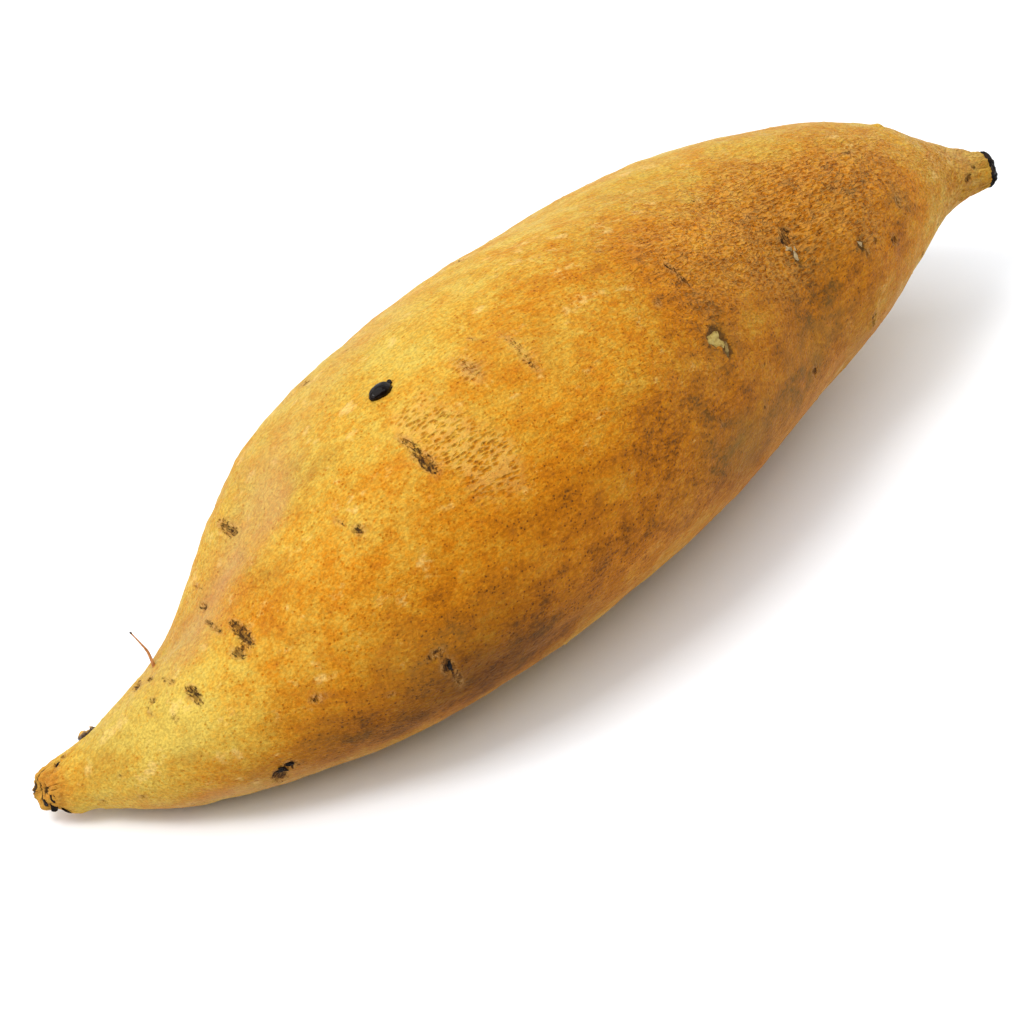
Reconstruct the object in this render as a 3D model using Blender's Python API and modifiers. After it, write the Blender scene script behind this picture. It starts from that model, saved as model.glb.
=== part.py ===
"""Sweet potato, roasted whole in its skin: one solid storage root.

The root is a coarse cage of rings strung on a bent core line, rounded by a Subdivision
Surface, and cut flat where the belly rests. It lies along X with the dried root end at -X
and the charred stem end at +X. The origin is on the table, under the middle of its box.
"""

import math

import bmesh
import bpy
from mathutils import Vector

LENGTH = 0.200  # from the root end to the stem end
THICKEST = 0.0281  # radius at the thickest place
BELLY_PRESS = 0.0011  # how far the belly dips below the table before it is cut flat
COLUMNS = 12  # cage points round each ring
OVAL = 1.02  # how much wider than a circle each ring is, and how much lower
SMOOTHING_LEVELS = 2

# The rings of the cage, from the root end to the stem end. Each gives its place along the
# root, its shift to the side and its clearance above the table as shares of LENGTH, and
# its radius as a share of THICKEST.
RINGS = (
    (0.003, 0.000, 0.0200, 0.098),
    (0.020, -0.004, 0.0165, 0.128),
    (0.050, -0.018, 0.0105, 0.205),
    (0.080, -0.037, 0.0070, 0.320),
    (0.120, -0.053, 0.0035, 0.445),
    (0.170, -0.057, 0.0010, 0.580),
    (0.220, -0.063, 0.0000, 0.760),
    (0.280, -0.055, 0.0000, 0.900),
    (0.360, -0.041, 0.0000, 0.975),
    (0.450, -0.029, 0.0000, 1.010),
    (0.540, -0.010, 0.0000, 0.990),
    (0.630, 0.013, 0.0020, 0.920),
    (0.710, 0.028, 0.0115, 0.835),
    (0.790, 0.023, 0.0330, 0.720),
    (0.860, 0.029, 0.0570, 0.550),
    (0.910, 0.024, 0.0780, 0.380),
    (0.945, 0.019, 0.0940, 0.225),
    (0.975, 0.010, 0.1020, 0.132),
    (0.998, 0.002, 0.1060, 0.102),
)

# Soft hollows (-) and swellings (+) of the surface: place along the root as a share of
# LENGTH, angle round it in degrees from the +Y side over the top, reach along the root as
# a share of LENGTH, reach round it in degrees, and height as a share of THICKEST.
RELIEF = (
    (0.22, 75, 0.07, 24, -0.10),
    (0.23, 32, 0.08, 22, 0.06),
    (0.40, 100, 0.09, 40, 0.03),
    (0.66, 250, 0.10, 40, 0.04),
    (0.57, 20, 0.08, 35, -0.03),
)


def ring_centre(ring):
    """The middle of a ring: its clearance plus its own radius above the table."""
    along, side, clearance, radius = ring
    height = clearance * LENGTH + radius * THICKEST / OVAL - BELLY_PRESS
    return Vector(((along - 0.5) * LENGTH, side * LENGTH, height))


def core_direction(index, centres):
    """The way the core line runs at a ring, from the ring before it to the ring after."""
    before = centres[max(index - 1, 0)]
    after = centres[min(index + 1, len(centres) - 1)]
    return (after - before).normalized()


def relief_at(along, degrees):
    """Sum of the bell-shaped hollows and swellings at a place on the root."""
    height = 0.0
    for place, angle, reach_along, reach_round, amount in RELIEF:
        turn = (degrees - angle + 180) % 360 - 180
        bell = ((along - place) / reach_along) ** 2 + (turn / reach_round) ** 2
        height += amount * math.exp(-bell)
    return height * THICKEST


def cage_point(index, column, centres):
    """A corner of the cage: out from the core line, square to it, at one of the columns."""
    along, _, _, radius = RINGS[index]
    direction = core_direction(index, centres)
    side = Vector((0, 0, 1)).cross(direction).normalized()
    up = direction.cross(side)
    degrees = 360 * column / COLUMNS
    turn = math.radians(degrees)
    # A subdivided ring of corners draws in by this much, so the corners start further out.
    drawn_in = (2 + math.cos(2 * math.pi / COLUMNS)) / 3
    reach = (radius * THICKEST + relief_at(along, degrees)) / drawn_in
    across = side * (math.cos(turn) * reach * OVAL)
    return centres[index] + across + up * (math.sin(turn) * reach / OVAL)


def make_cage():
    """A UV sphere with one ring of corners for each ring of the root, moved into place."""
    cage = bmesh.new()
    bmesh.ops.create_uvsphere(
        cage, u_segments=COLUMNS, v_segments=len(RINGS) + 1, radius=1
    )
    centres = [ring_centre(ring) for ring in RINGS]
    for corner in cage.verts:
        latitude = math.acos(max(-1.0, min(1.0, -corner.co.z)))
        index = round(latitude / math.pi * (len(RINGS) + 1)) - 1
        if index < 0 or index >= len(RINGS):
            end = 0 if index < 0 else len(RINGS) - 1
            corner.co = centres[end]
            continue
        turn = math.atan2(corner.co.y, corner.co.x)
        column = round(turn / (2 * math.pi) * COLUMNS) % COLUMNS
        corner.co = cage_point(index, column, centres)
    bmesh.ops.recalc_face_normals(cage, faces=cage.faces)
    return cage


def skin_material():
    """Roasted golden-brown skin, dull, with no metal."""
    material = bpy.data.materials.new("roasted_skin")
    material.use_nodes = True
    shader = material.node_tree.nodes["Principled BSDF"]
    shader.inputs["Base Color"].default_value = (0.56, 0.27, 0.05, 1)
    shader.inputs["Roughness"].default_value = 0.55
    shader.inputs["Metallic"].default_value = 0.0
    return material


def make_root(collection):
    """The rounded root, as a mesh without modifiers."""
    mesh = bpy.data.meshes.new("root_cage")
    cage = make_cage()
    cage.to_mesh(mesh)
    cage.free()
    rounded = bpy.data.objects.new("root_cage", mesh)
    collection.objects.link(rounded)
    smoothing = rounded.modifiers.new("rounding", "SUBSURF")
    smoothing.levels = SMOOTHING_LEVELS
    smoothing.render_levels = SMOOTHING_LEVELS
    bpy.context.view_layer.update()
    evaluated = rounded.evaluated_get(bpy.context.evaluated_depsgraph_get())
    skin = bpy.data.meshes.new_from_object(evaluated)
    bpy.data.objects.remove(rounded)
    root = bpy.data.objects.new("sweet_potato", skin)
    collection.objects.link(root)
    return root


def centre_over_origin(root):
    """Moves the root so that the middle of its box is over the origin."""
    corners = [Vector(corner) for corner in root.bound_box]
    middle = (Vector(map(min, *corners)) + Vector(map(max, *corners))) / 2
    for vertex in root.data.vertices:
        vertex.co -= Vector((middle.x, middle.y, 0))


def make_table_cutter(collection):
    """A block whose top is the table, to cut the belly flat."""
    depth = 0.02
    bpy.ops.mesh.primitive_cube_add(size=1, location=(0, 0, -depth / 2))
    cutter = bpy.context.object
    cutter.name = "table_cutter"
    cutter.scale = (2 * LENGTH, LENGTH, depth)
    bpy.ops.object.transform_apply(location=True, rotation=False, scale=True)
    for owner in list(cutter.users_collection):
        owner.objects.unlink(cutter)
    collection.objects.link(cutter)
    cutter.display_type = "WIRE"
    cutter.hide_render = True
    return cutter


def main():
    for old in list(bpy.data.objects):
        bpy.data.objects.remove(old)
    parts = bpy.data.collections.new("sweet_potato_parts")
    cutters = bpy.data.collections.new("cutters")
    bpy.context.scene.collection.children.link(parts)
    bpy.context.scene.collection.children.link(cutters)

    root = make_root(parts)
    centre_over_origin(root)
    root.data.materials.append(skin_material())
    root.data.shade_smooth()

    flat_belly = root.modifiers.new("flat_belly", "BOOLEAN")
    flat_belly.operation = "DIFFERENCE"
    flat_belly.solver = "EXACT"
    flat_belly.object = make_table_cutter(cutters)


main()
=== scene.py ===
# %% [markdown]
# # A sweet potato, baked whole in its skin
#
# A sweet potato is one swollen storage root, so almost everything here is one closed skin.
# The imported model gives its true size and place. This lesson lays a much finer skin over
# it, with the hollows, wrinkles, scars and torn ends of a real root, colours it with
# patterns that Blender works out, and adds the few small things that sit on the skin.
#
# Lengths are in metres, as in the model. The root lies along X, with its pointed root end
# at -X and its charred stem end at +X. A place on the skin is two numbers: how far along
# the root it is, from 0 to 1, and the angle round it in degrees, from the +Y side (0) over
# the top (90) to the -Y side (180) and the belly (270).

import itertools
import math

import bpy
import numpy as np
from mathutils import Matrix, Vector


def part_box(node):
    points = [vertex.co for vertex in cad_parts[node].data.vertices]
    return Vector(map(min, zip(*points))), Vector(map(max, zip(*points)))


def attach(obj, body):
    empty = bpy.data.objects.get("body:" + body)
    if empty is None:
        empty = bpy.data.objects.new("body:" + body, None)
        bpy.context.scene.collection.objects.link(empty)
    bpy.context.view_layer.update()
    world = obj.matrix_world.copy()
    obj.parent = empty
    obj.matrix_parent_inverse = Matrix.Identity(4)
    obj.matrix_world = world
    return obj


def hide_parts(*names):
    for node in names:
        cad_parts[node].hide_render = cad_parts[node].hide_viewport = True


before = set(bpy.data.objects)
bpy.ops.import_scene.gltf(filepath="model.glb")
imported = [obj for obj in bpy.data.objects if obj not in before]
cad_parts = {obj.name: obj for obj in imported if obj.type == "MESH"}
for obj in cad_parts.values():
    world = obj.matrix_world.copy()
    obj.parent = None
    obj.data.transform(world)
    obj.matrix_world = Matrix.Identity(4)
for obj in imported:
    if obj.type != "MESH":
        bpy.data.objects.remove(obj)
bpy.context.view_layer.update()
box_low, box_high = (np.array(corner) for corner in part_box("sweet_potato"))
MM = 0.001
print("model box, mm:", np.round((box_high - box_low) / MM, 1))

# %% [markdown]
# ## Camera
#
# A long lens from a good distance keeps a small object's shape true, as in a studio. The
# camera looks down at the root, which lies turned, with its stem end further away. It is
# placed with two angles and a distance from a point a little above the middle of the base.

# %% Camera
CAMERA_TURN = math.radians(-42.7)
CAMERA_RISE = math.radians(38)
CAMERA_DISTANCE = 0.72
CAMERA_LENS = 165.0
CENTRE_HEIGHT = 0.020
AIM = Vector((-0.0100, 0.0002, 0.0116))


def camera_direction(turn, rise):
    """The unit vector from the object to a camera: sideways by the turn, up by the rise."""
    level = math.cos(rise)
    return Vector((math.sin(turn) * level, -math.cos(turn) * level, math.sin(rise)))


camera_data = bpy.data.cameras.new("camera")
camera_data.lens = CAMERA_LENS
camera = bpy.data.objects.new("camera", camera_data)
centre = Vector((0, 0, CENTRE_HEIGHT))
camera.location = centre + camera_direction(CAMERA_TURN, CAMERA_RISE) * CAMERA_DISTANCE
camera.rotation_euler = (AIM - camera.location).to_track_quat("-Z", "Y").to_euler()
bpy.context.scene.collection.objects.link(camera)
bpy.context.scene.camera = camera
print("camera at", np.round(camera.location, 3))

# %% [markdown]
# ## Light and floor
#
# The root lies on a white sweep under soft light. One large lamp hangs high on the camera's
# left, so the shadow falls short and soft to the right. Its middle is brighter than its
# edges, as in a real softbox, which gives wet spots a small clear highlight. The room is
# bright behind the root and dim in front, which gives its upper edge a pale rim. The floor
# gets a little more light than white needs, so only the deep part of the shadow shows on
# it. The Standard view keeps the skin's golden colours as rich as they are.

# %% Light and floor
KEY_SIZE = 3.0
KEY_DISTANCE = 1.8
KEY_POWER = 58.0
BULB_SIZE = 0.5  # the softbox is brighter in the middle, where its bulb is
BULB_POWER = 12.0
BULB_NEARER = 0.99  # share of the distance, so that the bulb hangs just in front
KEY_TURN = math.radians(-92)
KEY_RISE = math.radians(57)
ROOM_TURN = math.radians(124)  # the way to the brightest part of the room
ROOM_RISE = math.radians(11)
ROOM_BRIGHTEST = 1.4
ROOM_DIMMEST = 0.03
ROOM_DIM_FROM = -0.16  # dimmest where the cosine to that way is below this
FLOOR_HALF = 3.0
FLOOR_DROP = 0.00005  # keeps the floor just clear of the skin's flat belly
FLOOR_COLOUR = (0.91, 0.93, 0.96, 1)


def soft_lamp(name, turn, rise, distance, size, power):
    """A square area lamp that looks at the middle of the object."""
    data = bpy.data.lights.new(name, "AREA")
    data.size = size
    data.energy = power
    lamp = bpy.data.objects.new(name, data)
    lamp.location = camera_direction(turn, rise) * distance
    lamp.rotation_euler = (-lamp.location).to_track_quat("-Z", "Y").to_euler()
    bpy.context.scene.collection.objects.link(lamp)


soft_lamp("key_softbox", KEY_TURN, KEY_RISE, KEY_DISTANCE, KEY_SIZE, KEY_POWER)
soft_lamp("softbox_middle", KEY_TURN, KEY_RISE, KEY_DISTANCE * BULB_NEARER, BULB_SIZE, BULB_POWER)
print("softbox at", np.round(camera_direction(KEY_TURN, KEY_RISE) * KEY_DISTANCE, 2))

world = bpy.data.worlds.new("white_room")
world.use_nodes = True
world_nodes = world.node_tree.nodes
background = world_nodes["Background"]
background.inputs["Color"].default_value = (1, 1, 1, 1)
seen_way = world_nodes.new("ShaderNodeTexCoord")
behind = world_nodes.new("ShaderNodeVectorMath")
behind.operation = "DOT_PRODUCT"
behind.inputs[1].default_value = camera_direction(ROOM_TURN, ROOM_RISE)
room = world_nodes.new("ShaderNodeMapRange")
room.inputs["From Min"].default_value = ROOM_DIM_FROM
room.inputs["To Min"].default_value = ROOM_DIMMEST
room.inputs["To Max"].default_value = ROOM_BRIGHTEST
sight = world_nodes.new("ShaderNodeLightPath")
strength = world_nodes.new("ShaderNodeMix")
strength.inputs["B"].default_value = 1.0  # the world itself looks white
for source, target in (
    (seen_way.outputs["Generated"], behind.inputs[0]),
    (behind.outputs["Value"], room.inputs["Value"]),
    (sight.outputs["Is Camera Ray"], strength.inputs["Factor"]),
    (room.outputs["Result"], strength.inputs["A"]),
    (strength.outputs["Result"], background.inputs["Strength"]),
):
    world.node_tree.links.new(source, target)
bpy.context.scene.world = world
bpy.context.scene.view_settings.view_transform = "Standard"

floor_mesh = bpy.data.meshes.new("floor")
floor_corners = np.array([(-1, -1, 0), (1, -1, 0), (1, 1, 0), (-1, 1, 0)]) * FLOOR_HALF
floor_corners -= (0, 0, FLOOR_DROP)
floor_mesh.from_pydata(floor_corners.tolist(), [], [(0, 1, 2, 3)])
floor = bpy.data.objects.new("floor", floor_mesh)
bpy.context.scene.collection.objects.link(floor)
floor_paint = bpy.data.materials.new("white_floor")
floor_paint.use_nodes = True
floor_shader = floor_paint.node_tree.nodes["Principled BSDF"]
floor_shader.inputs["Base Color"].default_value = FLOOR_COLOUR
floor_shader.inputs["Roughness"].default_value = 0.9
floor_shader.inputs["Specular IOR Level"].default_value = 0.0
floor_mesh.materials.append(floor_paint)

# %% [markdown]
# ## The form of the root
#
# The model's own form is a coarse cage of twelve-cornered rings, strung on a bent core
# line and rounded. Rounding a cage like that is the same as blending its corners with
# B-spline weights, so the same rings can be blended again at any fineness. That gives a
# grid of points that lies on the model's surface, with rows along the root and columns
# round it, and every later step is a whole-array sum on that grid.

# %% Rings of the root
LENGTH = 0.200
THICKEST = 0.0281  # radius at the thickest place
BELLY_PRESS = 0.0011
OVAL = 1.02
CAGE_COLUMNS = 12

# place along, shift to the side and clearance above the floor as shares of LENGTH, and
# radius as a share of THICKEST
RINGS = np.array((
    (0.003, 0.000, 0.0200, 0.098),
    (0.020, -0.004, 0.0165, 0.128),
    (0.050, -0.018, 0.0105, 0.205),
    (0.080, -0.037, 0.0070, 0.320),
    (0.120, -0.053, 0.0035, 0.445),
    (0.170, -0.057, 0.0010, 0.580),
    (0.220, -0.063, 0.0000, 0.760),
    (0.280, -0.055, 0.0000, 0.900),
    (0.360, -0.041, 0.0000, 0.975),
    (0.450, -0.029, 0.0000, 1.010),
    (0.540, -0.010, 0.0000, 0.990),
    (0.630, 0.013, 0.0020, 0.920),
    (0.710, 0.028, 0.0115, 0.835),
    (0.790, 0.023, 0.0330, 0.720),
    (0.860, 0.029, 0.0570, 0.550),
    (0.910, 0.024, 0.0780, 0.380),
    (0.945, 0.019, 0.0940, 0.225),
    (0.975, 0.010, 0.1020, 0.132),
    (0.998, 0.002, 0.1060, 0.102),
))

# place along, angle, reach along as a share of LENGTH, reach round in degrees, and height
# as a share of THICKEST
RELIEF = (
    (0.22, 75, 0.07, 24, -0.10),
    (0.23, 32, 0.08, 22, 0.06),
    (0.40, 100, 0.09, 40, 0.03),
    (0.66, 250, 0.10, 40, 0.04),
    (0.57, 20, 0.08, 35, -0.03),
)


def unit(vectors):
    """Vectors of length 1 that point the same way."""
    return vectors / np.maximum(np.linalg.norm(vectors, axis=-1, keepdims=True), 1e-12)


def turn_between(degrees, angle):
    """Degrees from an angle to others the short way round, from -180 to 180."""
    return (degrees - angle + 180) % 360 - 180


def cage_rings():
    """The corners of every ring. Each is its ring's centre, plus cos(angle) times the
    reach to the side, plus sin(angle) times the reach upwards, both square to the core."""
    along, shift, clearance, radius = RINGS.T
    centres = np.stack([
        (along - 0.5) * LENGTH,
        shift * LENGTH,
        clearance * LENGTH + radius * THICKEST / OVAL - BELLY_PRESS,
    ], axis=1)
    ahead = np.concatenate([centres[1:], centres[-1:]])
    behind = np.concatenate([centres[:1], centres[:-1]])
    direction = unit(ahead - behind)
    side = unit(np.cross([0, 0, 1], direction))
    up = np.cross(direction, side)
    degrees = np.arange(CAGE_COLUMNS) * 360 / CAGE_COLUMNS
    relief = sum(
        height * np.exp(-((along[:, None] - place) / reach_along) ** 2
                        - (turn_between(degrees, angle) / reach_round) ** 2)
        for place, angle, reach_along, reach_round, height in RELIEF
    )
    drawn_in = (2 + math.cos(2 * math.pi / CAGE_COLUMNS)) / 3
    reach = THICKEST * (radius[:, None] + relief) / drawn_in
    across = side[:, None] * (np.cos(np.radians(degrees)) * reach * OVAL)[..., None]
    upwards = up[:, None] * (np.sin(np.radians(degrees)) * reach / OVAL)[..., None]
    return centres, centres[:, None] + across + upwards


core, cage = cage_rings()
print("cage:", cage.shape[0], "rings of", cage.shape[1], "corners")

# %% [markdown]
# The blend weights come from one formula. At a place between two rows of the cage, the
# four rows around it count as below, and the weights always add up to 1. Rows pile up
# towards both ends here, where the root is thin and its torn tips need fine detail. Each
# end closes at a point: a row of corners that all sit on the core, with a mirrored ring
# beyond it so that the surface runs smoothly through.

# %% Blend the cage into a fine grid
ROWS = 500
COLUMNS = 198
EVEN_SHARE = 0.75  # how much the rows follow the length rather than the cage's own rings


def spline_weights(places, count, wraps):
    """Weights of the cage's rows at each place, as a matrix. With f the share of the way
    from one row to the next, the four rows around count (1-f)^3/6, (3f^3-6f^2+4)/6,
    (-3f^3+3f^2+3f+1)/6 and f^3/6."""
    first = np.floor(places).astype(int)
    f = places - first
    four = np.stack([(1 - f) ** 3, 3 * f**3 - 6 * f**2 + 4, -3 * f**3 + 3 * f**2 + 3 * f + 1, f**3]) / 6
    weights = np.zeros((len(places), count))
    for step in range(4):
        row = first - 1 + step
        row = row % count if wraps else row.clip(0, count - 1)
        np.add.at(weights, (np.arange(len(places)), row), four[step])
    return weights


def close_ends(values, mirrored_first, mirrored_last, first, last):
    """Adds a pole row and a mirrored row beyond it at both ends."""
    rows = [mirrored_first[None], first[None], values, last[None], mirrored_last[None]]
    return np.concatenate(rows)


half_turn = CAGE_COLUMNS // 2
cage_rows = close_ends(
    cage, np.roll(cage[0], half_turn, 0), np.roll(cage[-1], half_turn, 0),
    np.repeat(core[:1], CAGE_COLUMNS, 0), np.repeat(core[-1:], CAGE_COLUMNS, 0),
)
row_shares = close_ends(RINGS[:, 0], RINGS[0, 0], RINGS[-1, 0], RINGS[0, 0], RINGS[-1, 0])
row_count = len(cage_rows)

SHORT_OF = 1e-9  # keeps the last place inside the last span
even_rows = np.linspace(1, row_count - 2 - SHORT_OF, 4 * ROWS)
shares_there = spline_weights(even_rows, row_count, False) @ row_shares
progress = EVEN_SHARE * (shares_there - shares_there[0]) / np.ptp(shares_there)
progress += (1 - EVEN_SHARE) * np.linspace(0, 1, len(even_rows))
row_places = np.interp(np.linspace(0, 1, ROWS), progress, even_rows)

row_weights = spline_weights(row_places, row_count, False)
column_weights = spline_weights(np.arange(COLUMNS) * CAGE_COLUMNS / COLUMNS, CAGE_COLUMNS, True)
form = np.einsum("rk,kcx,uc->rux", row_weights, cage_rows, column_weights)
along = (row_weights @ row_shares)[:, None]
degrees = np.arange(COLUMNS)[None] * 360 / COLUMNS

middle_shift = (form.reshape(-1, 3).min(0) + form.reshape(-1, 3).max(0)) / 2
middle_shift[2] = 0
form -= middle_shift
print("form box, mm:", np.round(np.ptp(form.reshape(-1, 3), axis=0) / MM, 1))

# %% [markdown]
# ## Tools for shaping
#
# Skin detail is pushed out or in along the skin's own normals. Two tools are enough for
# all of it. A bell places one soft swelling, hollow or patch. Noise gives endless
# irregular lumps: every corner of a lattice gets a random slope from a hash of its
# whole-numbered place, and the slopes are blended smoothly between corners.

# %% Noise and bells
def hashed(cells, seed):
    """A number from 0 to 1 for each whole-numbered cell, the same on every run: its three
    coordinates and the seed are multiplied, added and scrambled."""
    prime = np.array([73856093, 19349663, 83492791], np.uint64)
    mixed = (cells.astype(np.uint64) * prime).sum(-1) + np.uint64(seed * 2654435761 + 977)
    mixed = (mixed ^ (mixed >> np.uint64(15))) * np.uint64(2246822519)
    mixed = (mixed ^ (mixed >> np.uint64(13))) * np.uint64(3266489917)
    return ((mixed >> np.uint64(20)) & np.uint64(0xFFFFFF)) / float(0xFFFFFF)


def noise(points, size, seed):
    """Gradient noise, about -1 to 1. Round each point, the eight lattice corners' random
    slopes, each times the way from its corner, are blended by 6t^5 - 15t^4 + 10t^3."""
    scaled = points / (np.ones(3) * size)
    low = np.floor(scaled).astype(np.int64)
    part = scaled - low
    blend = part**3 * (part * (part * 6 - 15) + 10)
    total = np.zeros(points.shape[:-1])
    for corner in itertools.product((0, 1), repeat=3):
        weight = np.prod(np.where(corner, blend, 1 - blend), axis=-1)
        slope = np.stack([hashed(low + corner, seed * 3 + axis) for axis in range(3)], -1) * 2 - 1
        total += weight * (slope * (part - corner)).sum(-1)
    return total * 1.6


def layered(points, size, seed, layers=3):
    """Noise plus finer noise: each layer is half the size and half the strength."""
    sizes = np.ones(3) * size
    return sum(noise(points, sizes / 2**step, seed + step) / 2**step for step in range(layers))


def smooth_step(values, low, high):
    """0 below low, 1 above high, and 3t^2 - 2t^3 between."""
    t = ((values - low) / (high - low)).clip(0, 1)
    return t * t * (3 - 2 * t)


core_line = form.mean(axis=1, keepdims=True)
radius_here = np.linalg.norm(form - core_line, axis=-1).mean(axis=1, keepdims=True)
per_degree = radius_here * math.pi / 180

WANDER = 2.2 * MM  # how far noise shifts a bell's edge, so that no patch is a clean oval
WANDER_SIZE = 7.5 * MM
WANDER_LESS = 4 * MM  # a bell with a smaller reach than this is shifted less
wander_along = WANDER * layered(form, WANDER_SIZE, 201)
wander_round = WANDER * layered(form, WANDER_SIZE, 211)


def bell(place, angle, reach_along, reach_round):
    """exp(-(a/reach_along)^2 - (b/reach_round)^2), where a and b are the distances over the
    skin, along the root and round it. Noise shifts both, and shifts a small bell less."""
    a = (along - place) * LENGTH + wander_along * min(1.0, reach_along / WANDER_LESS)
    b = turn_between(degrees, angle) * per_degree + wander_round * min(1.0, reach_round / WANDER_LESS)
    return np.exp(-((a / reach_along) ** 2) - (b / reach_round) ** 2)


def bells(rows):
    """The sum of bells given as place, angle, reaches along and round in mm, and height."""
    return sum(
        height * bell(place, angle, reach_along * MM, reach_round * MM)
        for place, angle, reach_along, reach_round, height in rows
    )


def normals_of(grid):
    """Unit normals of a grid that wraps round: the cross product of its two slopes."""
    round_slope = np.roll(grid, -1, axis=1) - np.roll(grid, 1, axis=1)
    along_slope = np.gradient(grid, axis=0)
    normals = unit(np.cross(round_slope, along_slope))
    normals[0] = unit(grid[0] - grid[3].mean(axis=0))
    normals[-1] = unit(grid[-1] - grid[-4].mean(axis=0))
    outward = np.sign((normals[1:-1] * (grid - core_line)[1:-1]).sum(-1).mean())
    normals[1:-1] *= outward
    return normals


form_normals = normals_of(form)
print("thickest radius, mm:", round(float(radius_here.max()) / MM, 1))

# %% [markdown]
# ## Swellings, hollows and wrinkles
#
# A real root is never a smooth spindle. It has a few broad swellings and one long furrow
# near the root end, slow lumps all over, and lengthwise wrinkles where the skin dried and
# shrank. The broad ones are placed one by one. The lumps and wrinkles are noise that is
# stretched along the root, and a `leathery` mask says where the wrinkles are strongest.

# %% Broad shape
SWELLINGS = (  # place, angle, reach along and round in mm, height in mm
    (0.285, 46, 13, 9, 0.9),
    (0.345, 47, 5, 6, 0.35),
    (0.225, 45, 14, 5, 0.5),
    (0.175, 66, 15, 3.5, -0.75),
    (0.240, 64, 9, 4.0, -0.5),
    (0.150, 88, 10, 6, 0.35),
    (0.480, 50, 6, 6, 0.3),
    (0.615, 52, 12, 8, 0.3),
    (0.700, 58, 7, 6, 0.35),
    (0.265, 118, 8, 7, 0.4),
    (0.300, 100, 5, 9, -0.3),
    (0.230, 145, 12, 8, -0.35),
    (0.130, 150, 14, 9, 0.3),
    (0.545, 150, 9, 8, -0.3),
    (0.695, 133, 7, 6, -0.35),
    (0.760, 150, 12, 8, 0.3),
    (0.820, 175, 9, 7, -0.35),
    (0.870, 120, 9, 8, 0.25),
    (0.640, 185, 12, 8, 0.35),
    (0.420, 185, 16, 9, 0.3),
    (0.350, 320, 18, 10, 0.5),
    (0.520, 350, 14, 9, -0.5),
    (0.600, 300, 16, 9, 0.4),
    (0.740, 345, 11, 8, 0.4),
    (0.240, 345, 9, 7, -0.4),
    (0.840, 280, 9, 8, -0.3),
)

LUMPS = (  # height, cell size along and round in mm, seed
    (0.40, 30, 18, 11),
    (0.18, 11, 6, 21),
    (0.09, 5, 3.4, 25),
)
broad = bells(SWELLINGS)
for lump_height, cell_along, cell_round, seed in LUMPS:
    broad += lump_height * layered(form / MM, (cell_along, cell_round, cell_round), seed, 2)
body_share = smooth_step(radius_here, 2 * MM, 9 * MM)
broad *= MM * (0.25 + 0.75 * body_share)  # the thin ends are smoother

NUBS = (  # small knots, and a little ring on the neck: a nub with a smaller hollow in it
    (0.896, 76, 0.8, 0.8, 0.55), (0.773, 187, 1.2, 1.6, 0.30), (0.747, 206, 1.0, 1.0, 0.35),
    (0.969, 66, 1.0, 0.9, 0.30), (0.962, 192, 1.2, 1.0, 0.30), (0.380, 66, 1.3, 1.6, 0.25),
    (0.976, 153, 0.85, 0.85, 0.42), (0.976, 153, 0.42, 0.42, -0.55), (0.969, 140, 0.5, 0.5, 0.25),
    (0.252, 51, 1.2, 1.2, 0.30), (0.350, 340, 1.2, 1.4, 0.40), (0.640, 320, 1.4, 1.4, 0.35),
)
broad += MM * bells(NUBS)

LEATHERY = (
    (0.62, 110, 20, 17, 0.75),
    (0.73, 122, 20, 14, 0.80),
    (0.83, 115, 15, 12, 0.55),
    (0.50, 155, 15, 12, 0.45),
    (0.94, 120, 9, 12, 0.65),
    (0.93, 260, 9, 12, 0.65),
    (0.05, 120, 10, 12, 0.20),
    (0.20, 68, 17, 6, 0.40),
    (0.66, 300, 26, 22, 0.60),
    (0.40, 345, 22, 14, 0.50),
)
leathery = (bells(LEATHERY) + 0.16 + 0.22 * layered(form, 0.014, 31, 2)).clip(0, 1)
CREASE_WIDTH = 0.16  # how near to zero the noise is inside a crease
WRINKLE_DEPTH = 0.16 * MM
NECK_FOLD = 0.17 * MM


def creases(points, size, seed):
    """Thin creases where noise crosses zero: 1 on the crossing, falling to 0 beside it.
    The points are first bent a little by slower noise, so that no crease is straight."""
    bend = np.stack([noise(points, 6 * MM, seed + step) for step in (5, 6, 7)], -1)
    return np.exp(-((noise(points + 0.9 * MM * bend, size, seed) / CREASE_WIDTH) ** 2))


def on_a_tube(stretch, circle):
    """Places on a straight tube: along the root times the stretch, and a circle of this
    size round it. Noise that is read here runs lengthwise however thin the root is."""
    turn = np.radians(degrees)
    places = np.broadcast_arrays(along * stretch, np.cos(turn) * circle, np.sin(turn) * circle)
    return np.stack(places, -1)


wrinkles = 0.55 * creases(form, (0.0085, 0.0024, 0.0024), 41)
wrinkles += 0.30 * creases(form, (0.005, 0.0016, 0.0016), 47)
neck = smooth_step(along, 0.90, 0.97) + 0.8 * smooth_step(along, 0.09, 0.03)
neck_folds = noise(on_a_tube(60, 2.6), (2.2, 0.8, 0.8), 53)
wrinkle_height = NECK_FOLD * neck * neck_folds - WRINKLE_DEPTH * leathery * wrinkles
print("leathery share:", round(float(leathery.mean()), 2))

# %% [markdown]
# ## Scars
#
# Fine side roots once grew in rows down the root. Each left a short scar that runs round
# the root: a shallow cleft with corky lips, dark inside. Scars are bells again, long
# round the root and short along it. The same mask later blackens them, where finer noise
# breaks them into flecks. A scab is a healed wound: a shallow dark dent with a low rim, in
# which a flake of pale cork will lie.

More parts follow.
